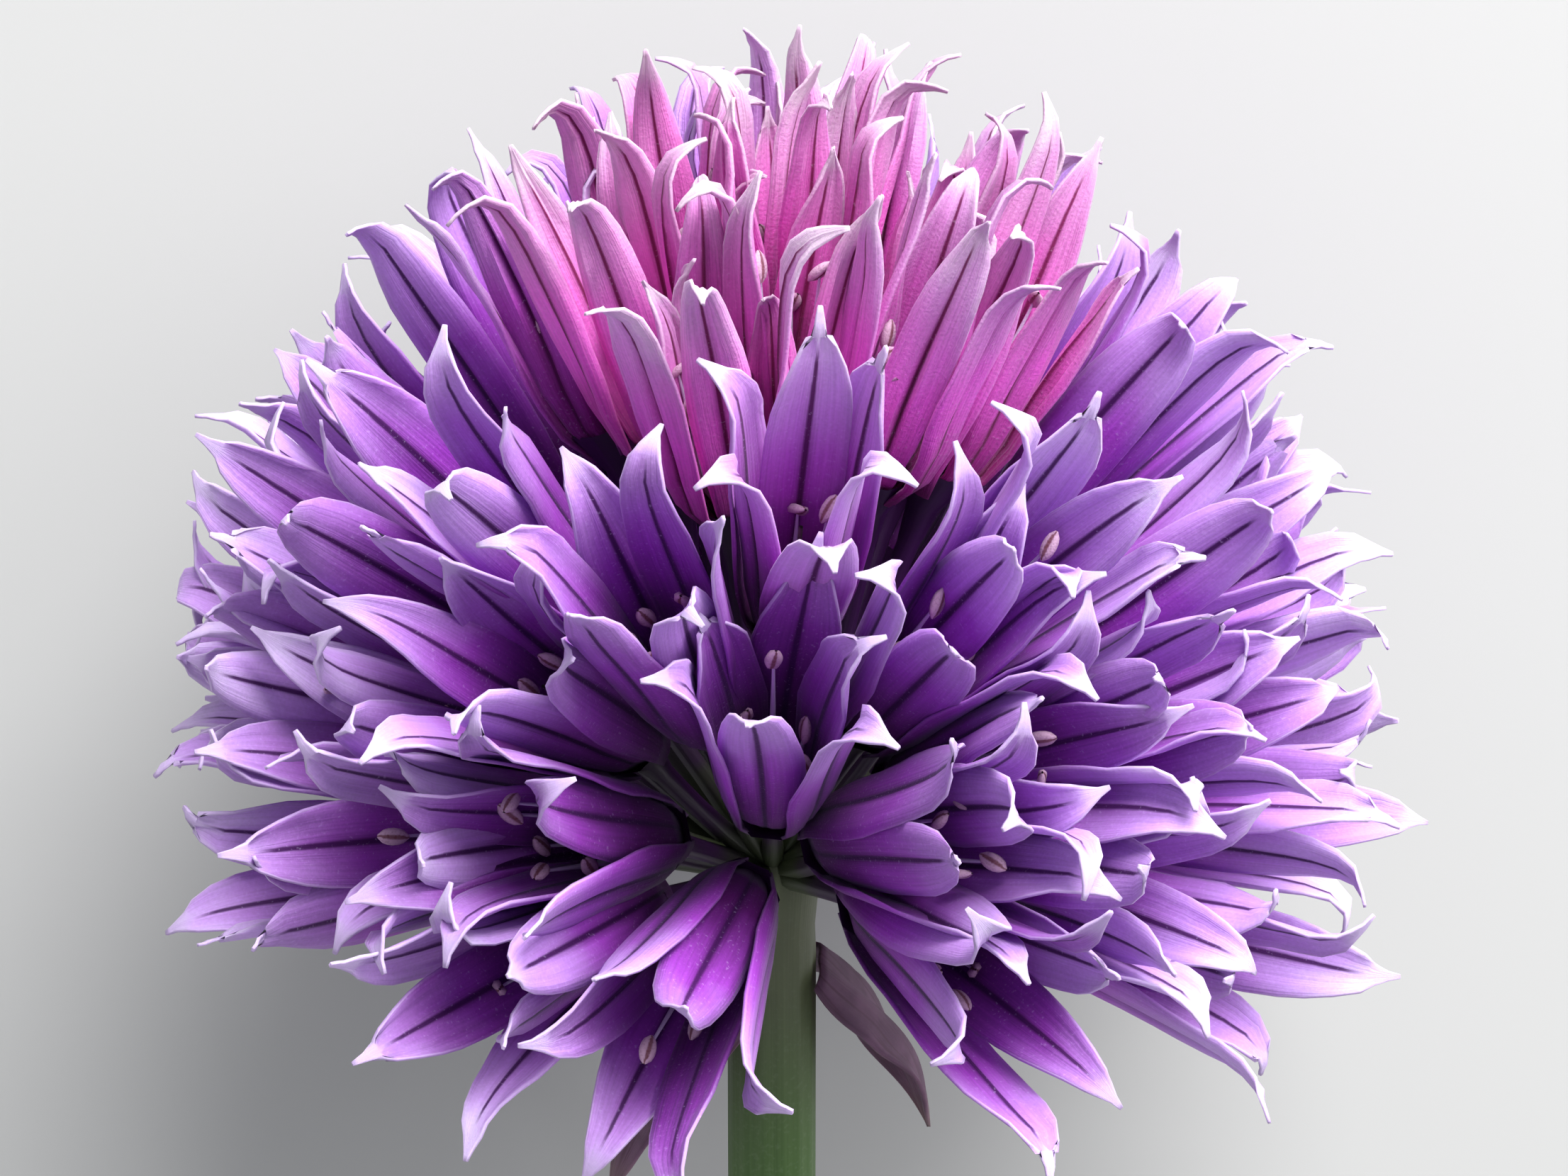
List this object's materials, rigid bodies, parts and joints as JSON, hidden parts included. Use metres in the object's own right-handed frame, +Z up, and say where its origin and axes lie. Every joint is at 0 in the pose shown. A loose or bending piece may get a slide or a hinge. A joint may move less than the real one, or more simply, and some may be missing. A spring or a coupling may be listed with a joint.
{
  "type": "chive flower",
  "caption": "Picked chive flower lying on its side: a round purple and pink flower head on a slender hollow green stem with two papery bracts.",
  "frame": {"origin": "bottom centre of the flower's box, on the surface it lies on", "axes": "+X across the flower, +Y along it from the stem's cut end to the pole of the head, +Z up"},
  "size_m": [0.0414, 0.107, 0.0373],
  "materials": {
    "green_stem": "smooth, slightly waxy green stem",
    "purple_tepal": "soft satin petal, purple with a pale rim and a dark midrib",
    "pink_tepal": "dry satin petal, magenta pink with a dark midrib",
    "papery_bract": "thin dry papery bract, purple brown"
  },
  "bodies": {
    "root": {"stem": "green_stem", "purple_florets": "purple_tepal", "pink_florets": "pink_tepal", "spathe_bract_left": "papery_bract", "spathe_bract_right": "papery_bract"}
  },
  "joints": []
}
